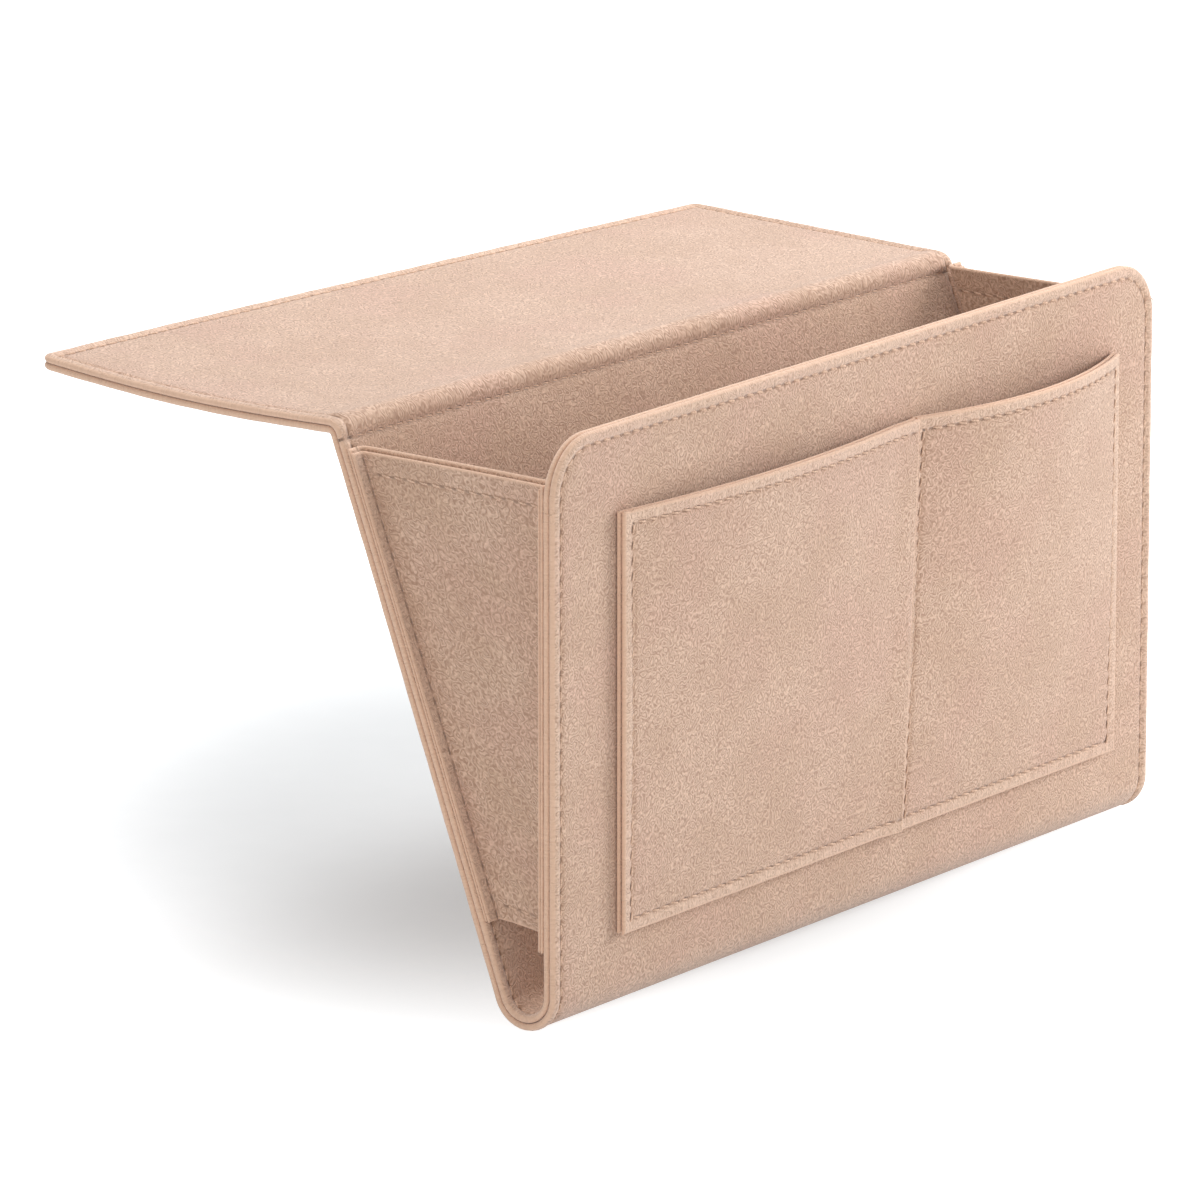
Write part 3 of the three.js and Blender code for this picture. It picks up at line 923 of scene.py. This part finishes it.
class Nodes:
    """A node tree that is being written."""

    def __init__(self, tree: bpy.types.NodeTree) -> None:
        """Starts on an empty tree."""
        self.tree = tree
        tree.nodes.clear()

    def add(self, kind: str, **settings: object) -> bpy.types.Node:
        """Adds a node and sets its options."""
        node = self.tree.nodes.new(kind)
        for key, value in settings.items():
            setattr(node, key, value)
        return node

    def feed(self, socket: Socket, value: object) -> None:
        """Links a socket to another one, or sets it to a plain value."""
        if isinstance(value, Socket):
            self.tree.links.new(value, socket)
        else:
            socket.default_value = value

    def math(self, how: str, *values: object) -> Socket:
        """The result of one sum on up to three values."""
        node = self.add("ShaderNodeMath", operation=how)
        for socket, value in zip(node.inputs, values):
            self.feed(socket, value)
        return node.outputs[0]

    def times(self, first: object, second: object) -> Socket:
        """The product of two values."""
        return self.math("MULTIPLY", first, second)

    def mark(self, name: str) -> Socket:
        """A vector that a mesh keeps with each of its points."""
        return self.add("ShaderNodeAttribute", attribute_name=name).outputs["Vector"]

    def split(self, vector: object) -> list[Socket]:
        """The three numbers of a vector."""
        node = self.add("ShaderNodeSeparateXYZ")
        self.feed(node.inputs[0], vector)
        return list(node.outputs)

    def ramp(self, value: object, low: float, high: float) -> Socket:
        """A smooth step of a value from 0 at low to 1 at high."""
        node = self.add("ShaderNodeMapRange", interpolation_type="SMOOTHSTEP")
        for name, item in (("Value", value), ("From Min", low), ("From Max", high)):
            self.feed(node.inputs[name], item)
        return node.outputs["Result"]

    def mix(self, factor: object, first: object, second: object) -> Socket:
        """A colour between two colours."""
        node = self.add("ShaderNodeMix", data_type="RGBA")
        for index, value in ((0, factor), (6, first), (7, second)):
            self.feed(node.inputs[index], value)
        return node.outputs[2]

    def noise(self, place: object, scale: float, detail: float = 2.0,
              stretch: tuple[float, float, float] = (1, 1, 1)) -> Socket:
        """Smooth noise over a place, whose scale is in waves per metre."""
        size = self.add("ShaderNodeVectorMath", operation="MULTIPLY")
        self.feed(size.inputs[0], place)
        size.inputs[1].default_value = stretch
        node = self.add("ShaderNodeTexNoise")
        self.feed(node.inputs["Vector"], size.outputs[0])
        node.inputs["Scale"].default_value = scale
        node.inputs["Detail"].default_value = detail
        return node.outputs["Fac"]

    def skin(self, colour: Socket, rough: Socket, height: Socket, bump: tuple[float, float],
             **more: float) -> None:
        """Ends a material in one bumped surface.

        Args:
            colour: The base colour.
            rough: The roughness.
            height: The height that the bump reads.
            bump: The bump's strength and its distance.
            more: Other inputs of the surface, with _ for each space.
        """
        dents = self.add("ShaderNodeBump")
        dents.inputs["Strength"].default_value, dents.inputs["Distance"].default_value = bump
        self.feed(dents.inputs["Height"], height)
        skin = self.add("ShaderNodeBsdfPrincipled")
        for name, value in (("Base Color", colour), ("Roughness", rough),
                            ("Normal", dents.outputs["Normal"])):
            self.feed(skin.inputs[name], value)
        for name, value in more.items():
            skin.inputs[name.replace("_", " ")].default_value = value
        self.finish("ShaderNodeOutputMaterial", skin)

    def finish(self, kind: str, last: bpy.types.Node) -> None:
        """Leads the last node to an output."""
        self.feed(self.add(kind).inputs["Surface"], last.outputs[0])


def group(name: str, takes: tuple, gives: tuple) -> tuple[bpy.types.NodeTree, Nodes]:
    """Starts a shader node group.

    Args:
        name: The group's name.
        takes: Name and socket type of each input.
        gives: Name and socket type of each output.

    Returns:
        The group and its nodes, with its input and output nodes made.
    """
    tree = bpy.data.node_groups.new(name, "ShaderNodeTree")
    for names, way in ((takes, "INPUT"), (gives, "OUTPUT")):
        for label, kind in names:
            tree.interface.new_socket(name=label, in_out=way, socket_type=kind)
    return tree, Nodes(tree)


def new_material(name: str) -> tuple[Material, Nodes]:
    """Starts a material, and gives it with its empty nodes."""
    made = bpy.data.materials.new(name)
    made.use_nodes = True
    return made, Nodes(made.node_tree)


FLOAT, VECTOR = "NodeSocketFloat", "NodeSocketVector"


def fibre_group() -> bpy.types.NodeTree:
    """The curled fibres, fine fuzz and soft patches of pressed polyester felt."""
    tree, n = group("felt_fibres", (("Cloth", VECTOR), ("Curl Scale", FLOAT)),
                    (("Curls", FLOAT), ("Fuzz", FLOAT), ("Patches", FLOAT), ("Blush", FLOAT)))
    given, out = n.add("NodeGroupInput"), n.add("NodeGroupOutput")
    cloth = given.outputs["Cloth"]
    curl = n.add("ShaderNodeTexNoise")
    curl.inputs["Detail"].default_value = 0.6
    n.feed(curl.inputs["Vector"], cloth)
    n.feed(curl.inputs["Scale"], given.outputs["Curl Scale"])
    folds = n.math("PINGPONG", n.times(curl.outputs["Fac"], 11.0), 1.0)
    broken = n.ramp(n.noise(cloth, 900, 1.0), 0.30, 0.60)
    lines = n.math("MULTIPLY_ADD", n.math("SUBTRACT", n.ramp(folds, 0.1, 0.9), 0.5), broken, 0.5)
    n.feed(out.inputs["Curls"], lines)
    n.feed(out.inputs["Fuzz"], n.noise(cloth, 1500, 3.0))
    n.feed(out.inputs["Patches"], n.ramp(n.noise(cloth, 42, 3.0), 0.36, 0.64))
    n.feed(out.inputs["Blush"], n.ramp(
        n.noise(cloth, 26, 2.0, (1, 1, 3.1)), 0.44, 0.66))
    return tree


def seam_group() -> bpy.types.NodeTree:
    """Where needle holes, the pulled-down row and the pressed strip outside it lie; the felt paints
    shade into the holes and the row and a highlight onto the strip.
    """
    tree, n = group("seam_marks", (("Seam", VECTOR), ("Cloth", VECTOR)),
                    (("Holes", FLOAT), ("Row Shade", FLOAT), ("Strip", FLOAT), ("Strokes", FLOAT)))
    given, out = n.add("NodeGroupInput"), n.add("NodeGroupOutput")
    seam, cloth = n.split(given.outputs["Seam"]), n.split(given.outputs["Cloth"])

    def marks(along: object, off: object) -> tuple:
        """The holes and the row of one line of stitches."""
        step = n.math("PINGPONG", n.math("ADD", along, STITCH_PITCH * 200), STITCH_PITCH / 2)
        spot = n.math("SQRT", n.math("ADD", n.math("POWER", n.times(step, 0.45), 2.0),
                                     n.math("POWER", n.times(off, 1.5), 2.0)))
        return n.ramp(spot, 0.95 * MM, 0.25 * MM), n.ramp(off, 0.8 * MM, 0.1 * MM)

    border = n.math("ABSOLUTE", n.math("SUBTRACT", seam[1], STITCH_INSET))
    first = marks(seam[0], border)
    second = marks(cloth[0], n.math("ABSOLUTE", seam[2]))
    n.feed(out.inputs["Holes"], n.math("MAXIMUM", n.times(first[0], 0.6), second[0]))
    # the row mask carries painted shade along each line of stitches
    n.feed(out.inputs["Row Shade"], n.math("MAXIMUM", first[1], second[1]))
    n.feed(out.inputs["Strip"], n.ramp(seam[1], 4.4 * MM, 3.4 * MM))
    n.feed(out.inputs["Strokes"], n.noise(given.outputs["Seam"], 1, 2.0, (1500, 260, 0)))
    return tree


@dataclass(frozen=True)
class Felt:
    """The beige felt: fibres, patches, lighter pressed edges that are partly painted highlight, and
    stitch marks with painted shade in the rows and holes.
    """

    name: str
    # dark tone: the felt's darker fibres in the curls and fuzz, and painted shade along the stitch
    # rows
    shade: Colour = (0.40, 0.238, 0.160, 1)
    light: Colour = (0.757, 0.532, 0.396, 1)
    blush: Colour = (0.715, 0.455, 0.352, 1)
    olive: Colour = (0.685, 0.468, 0.335, 1)
    # the strip outside the border seam: partly the felt's lighter fibres there, partly a painted
    # highlight on the rolled border
    edge: Colour = (0.86, 0.63, 0.48, 1)
    # the cut rims: the felt's own cut-edge tone, partly a painted highlight that lightens rims
    # lying in shade
    cut_edge_tone_and_highlight: Colour = (0.74, 0.485, 0.34, 1)
    # painted shade: the dark colour laid into each needle hole
    hole_shade: Colour = (0.14, 0.075, 0.045, 1)
    curl_scale: float = 385.0
    blush_share: float = 0.6
    curl_share: float = 0.97
    fuzz_share: float = 0.30
    strip_highlight_shares: tuple[float, float] = (0.34, 0.08)
    cut_edge_tone_and_highlight_share: float = 0.75
    row_shade_share: float = 0.33
    hole_shade_share: float = 0.75
    hole_depth: float = 2.0
    bump: tuple[float, float] = (0.9, 0.22 * MM)

    def make(self, fibres: bpy.types.NodeTree, seams: bpy.types.NodeTree) -> Material:
        """Writes the material.

        Args:
            fibres: The fibre group.
            seams: The seam group.

        Returns:
            The material.
        """
        made, n = new_material(self.name)
        cloth, seam = n.mark("cloth"), n.mark("seam")
        felt = n.add("ShaderNodeGroup", node_tree=fibres)
        n.feed(felt.inputs["Cloth"], cloth)
        felt.inputs["Curl Scale"].default_value = self.curl_scale
        marks = n.add("ShaderNodeGroup", node_tree=seams)
        n.feed(marks.inputs["Seam"], seam)
        n.feed(marks.inputs["Cloth"], cloth)
        curls, fuzz, holes = felt.outputs["Curls"], felt.outputs["Fuzz"], marks.outputs["Holes"]
        stroke = n.ramp(marks.outputs["Strokes"], 0.35, 0.65)
        strip = n.math("MULTIPLY_ADD", stroke, *self.strip_highlight_shares)
        cut = n.ramp(n.split(n.mark("rim"))[0], 1.1 * MM, 0.5 * MM)
        colour = n.mix(felt.outputs["Patches"], self.olive, self.light)
        for share, tint in (
                (n.times(felt.outputs["Blush"], self.blush_share), self.blush),
                (n.times(n.math("SUBTRACT", 1.0, curls), self.curl_share), self.shade),
                (n.times(n.ramp(fuzz, 0.62, 0.36), self.fuzz_share), self.shade),
                # partly painted highlight on the rolled strip outside the border seam
                (n.times(marks.outputs["Strip"], strip), self.edge),
                # cut rims: own cut-edge tone, partly painted highlight
                (n.times(cut, self.cut_edge_tone_and_highlight_share), self.cut_edge_tone_and_highlight),
                # painted shade along the pulled-down stitch row
                (n.times(marks.outputs["Row Shade"], self.row_shade_share), self.shade),
                # painted shade in the needle holes
                (n.times(holes, self.hole_shade_share), self.hole_shade)):
            colour = n.mix(share, colour, tint)
        height = n.math("MULTIPLY_ADD", curls, 0.6, n.times(fuzz, 0.9))
        height = n.math("SUBTRACT", height, n.times(holes, self.hole_depth))
        n.skin(colour, n.math("MULTIPLY_ADD", fuzz, 0.12, 0.84), height, self.bump,
               Specular_IOR_Level=0.12, Sheen_Weight=0.34, Sheen_Roughness=0.6)
        return made


@dataclass(frozen=True)
class Thread:
    """Spun beige sewing thread with a fine twist."""

    dark: Colour = (0.52, 0.34, 0.24, 1)
    light: Colour = (0.78, 0.55, 0.41, 1)

    def make(self) -> Material:
        """Writes the material."""
        made, n = new_material("beige_thread")
        cloth = n.mark("cloth")
        twist = n.noise(cloth, 1, 1.0, (3200, 3200, 3200))
        fuzz = n.noise(cloth, 900, 3.0)
        shade = n.ramp(n.math("MULTIPLY_ADD", twist, 0.6, n.times(fuzz, 0.4)), 0.38, 0.6)
        n.skin(n.mix(shade, self.dark, self.light), n.math("MULTIPLY_ADD", fuzz, 0.2, 0.6),
               twist, (0.5, 0.1 * MM), Specular_IOR_Level=0.25)
        return made


@dataclass(frozen=True)
class Board:
    """The grey-brown stiffening board between the plies."""

    dark: Colour = (0.24, 0.20, 0.165, 1)
    light: Colour = (0.40, 0.34, 0.28, 1)

    def make(self) -> Material:
        """Writes the material."""
        made, n = new_material("stiffening_board")
        place = n.mark("cloth")
        grain = n.noise(place, 1, 3.0, (700, 180, 180))
        spots = n.ramp(n.noise(place, 420, 2.0), 0.4, 0.62)
        tone = n.math("MULTIPLY_ADD", grain, 0.7, n.times(spots, 0.3))
        n.skin(n.mix(tone, self.dark, self.light), n.math("MULTIPLY_ADD", spots, 0.15, 0.75),
               grain, (0.3, 0.1 * MM))
        return made


@dataclass
class Studio:
    """The pale floor, the soft lights and the camera at the photograph's angle."""

    target: Vector = field(default_factory=lambda: Vector((-0.0304, -0.0647, -0.0832)))
    ahead: Vector = field(default_factory=lambda: Vector((0.773685, 0.582149, -0.250027)))
    distance: float = 3.240
    lens: float = 300.0
    sensor: float = 36.0
    floor_size: float = 12.0
    floor_gap: float = 0.7 * MM
    floor_dark: Colour = (0.405, 0.42, 0.43, 1)
    floor_light: Colour = (0.425, 0.44, 0.45, 1)
    # The floor's glow is painted light: a share of it lights the caddy as painted bounce light, and
    # it is dimmer in a soft oval round the caddy, a painted shadow over the cast one.
    floor_painted_shadow_fade: float = 1.6
    floor_glow_in_painted_shadow: float = 0.29
    floor_painted_shadow_reach: tuple[float, float] = (0.06, 0.32)
    floor_glow_share_for_light: float = 0.5
    floor_painted_shadow_centre: tuple[float, float, float] = (0.04, 0.03, -0.184)
    floor_painted_shadow_axes: tuple[tuple[float, float, float], ...] = ((0.84, -1.12, 0.0), (0.8, 0.6, 0.0))
    sky: float = 0.40

    def camera(self) -> None:
        """Places the camera, far off and with a long lens."""
        data = bpy.data.cameras.new("camera")
        data.lens, data.sensor_width = self.lens, self.sensor
        data.clip_end = 50
        obj = bpy.data.objects.new("camera", data)
        obj.location = self.target - self.ahead.normalized() * self.distance
        obj.rotation_euler = self.ahead.to_track_quat("-Z", "Y").to_euler()
        bpy.context.scene.collection.objects.link(obj)
        bpy.context.scene.camera = obj

    def lamp(self, name: str, place: tuple, size: float, watts: float) -> None:
        """Hangs one soft square lamp that faces the caddy."""
        data = bpy.data.lights.new(name, "AREA")
        data.size, data.energy = size, watts
        obj = bpy.data.objects.new(name, data)
        obj.location = place
        toward = self.target - obj.location
        obj.rotation_euler = toward.to_track_quat("-Z", "Y").to_euler()
        bpy.context.scene.collection.objects.link(obj)

    def floor(self) -> None:
        """Lays the pale floor that keeps the caddy's shadow. It glows, less for light than for the
        camera, and the glow is dimmed in a soft oval round the caddy where the cast shadow shows:
        partly a painted shadow.
        """
        half = self.floor_size / 2
        mesh = bpy.data.meshes.new("floor")
        z = FLOOR_Z - self.floor_gap
        mesh.from_pydata([(-half, -half, z), (half, -half, z), (half, half, z),
                          (-half, half, z)], [], [(0, 1, 2, 3)])
        made, n = new_material("pale_floor")
        place = n.add("ShaderNodeTexCoord").outputs["Object"]
        tone = n.noise(place, 60, 2.0)
        skin = n.add("ShaderNodeBsdfDiffuse")
        n.feed(skin.inputs["Color"], n.mix(tone, self.floor_dark, self.floor_light))
        glow = n.add("ShaderNodeEmission")
        ray = n.add("ShaderNodeLightPath")
        # painted bounce light: the glow also lights the caddy, at a smaller share
        seen = n.math("MULTIPLY_ADD", ray.outputs["Is Camera Ray"], 1 - self.floor_glow_share_for_light,
                      self.floor_glow_share_for_light)
        near = n.add("ShaderNodeVectorMath", operation="SUBTRACT")
        n.feed(near.inputs[0], place)
        near.inputs[1].default_value = self.floor_painted_shadow_centre
        squares = []
        for direction in self.floor_painted_shadow_axes:
            part = n.add("ShaderNodeVectorMath", operation="DOT_PRODUCT")
            n.feed(part.inputs[0], near.outputs[0])
            part.inputs[1].default_value = direction
            squares.append(n.math("POWER", n.math("ABSOLUTE", part.outputs["Value"]), 2.0))
        # painted shadow: the glow is dimmed in an oval round the caddy
        away = n.math("SQRT", n.math("ADD", *squares))
        far = n.math("POWER", n.ramp(away, *self.floor_painted_shadow_reach), self.floor_painted_shadow_fade)
        lift = n.math("MULTIPLY_ADD", far, 1 - self.floor_glow_in_painted_shadow, self.floor_glow_in_painted_shadow)
        n.feed(glow.inputs["Strength"], n.times(seen, lift))
        both = n.add("ShaderNodeAddShader")
        n.feed(both.inputs[0], skin.outputs[0])
        n.feed(both.inputs[1], glow.outputs[0])
        pick = n.add("ShaderNodeMixShader")
        n.feed(pick.inputs[0], n.add("ShaderNodeNewGeometry").outputs["Backfacing"])
        n.feed(pick.inputs[1], both.outputs[0])
        n.feed(pick.inputs[2], n.add("ShaderNodeBsdfTransparent").outputs[0])
        n.finish("ShaderNodeOutputMaterial", pick)
        mesh.materials.append(made)
        obj = bpy.data.objects.new("floor", mesh)
        bpy.context.scene.collection.objects.link(obj)

    def world(self) -> None:
        """Sets a white surround, dimmer for light than for the camera."""
        world = bpy.data.worlds.new("surround")
        bpy.context.scene.world = world
        world.use_nodes = True
        n = Nodes(world.node_tree)
        ray = n.add("ShaderNodeLightPath")
        seen = n.math("MAXIMUM", ray.outputs["Is Camera Ray"], n.math(
            "MAXIMUM", ray.outputs["Is Glossy Ray"], ray.outputs["Is Transmission Ray"]))
        sky = n.add("ShaderNodeBackground")
        strength = n.math("MULTIPLY_ADD", seen, 1 - self.sky, self.sky)
        n.feed(sky.inputs["Strength"], strength)
        sky.inputs["Color"].default_value = (1, 1, 1, 1)
        n.finish("ShaderNodeOutputWorld", sky)

    def build(self) -> None:
        """Makes the whole studio."""
        bpy.context.scene.view_settings.view_transform = "Standard"
        self.camera()
        self.floor()
        self.world()
        self.lamp("lamp_right", (0.92, -0.82, 0.35), 0.6, 10.2)
        self.lamp("lamp_front", (0.2, -1.75, 0.6), 1.0, 2.4)
        self.lamp("lamp_top", (0.6, 0.62, 2.1), 1.3, 47)
        self.lamp("lamp_left", (-2.4, -0.9, 0.5), 1.4, 17)


def main() -> None:
    """Builds the caddy's felt, boards and stitches in order, and the studio."""
    logging.basicConfig(level=logging.INFO, format="%(message)s")
    Studio().build()
    felt = Felt("beige_felt").make(fibre_group(), seam_group())
    board = Board().make()
    shell = Shell()
    for node, body in (("flap_board", "flap"), ("back_board", "pouch"), ("front_board", "pouch")):
        Stiffener(node, body).build(shell, board)
    for face in Face:
        shell.build(face, felt)
    gussets = [Gusset(side) for side in Side]
    for gusset in gussets:
        for which in (0, 1):
            gusset.build(which, felt)
    left = Pocket("left", -133.2 * MM, 24 * MM, 6.5 * MM, divider_on_right=True)
    right = Pocket("right", 24.3 * MM, 140 * MM, 11.5 * MM, divider_on_right=False)
    for pocket in (left, right):
        for which in (0, 1):
            pocket.build(which, felt)
    thread = Thread().make()
    stitching = Stitching(thread)
    stitching.shell_row(shell, near_flap=True)
    stitching.shell_row(shell, near_flap=False)
    stitching.fold_seam(shell)
    for gusset in gussets:
        stitching.gusset_row(gusset, at_top=True)
        stitching.gusset_row(gusset, at_top=False)
    stitching.pocket_rows(left, right)
    ThreadTails(thread).build({
        "front_left_tail": [(-161.5, -147.4, -13.2), (-163.5, -148.6, -14.4),
                            (-165.4, -147.6, -16.2), (-165.3, -145.2, -16.0),
                            (-164.2, -143.0, -14.4), (-164.4, -141.0, -11.8)],
        "left_pocket_tail": [(-129.5, -151.2, -21.6), (-129.2, -152.4, -20.2),
                             (-130.2, -152.0, -18.6), (-132.6, -151.2, -18.2)],
        "front_right_tail": [(159.9, -148.0, -6.9), (161.5, -149.0, -6.0),
                             (163.2, -148.9, -6.9), (164.0, -148.2, -8.8)],
    })


if __name__ == "__main__":
    main()
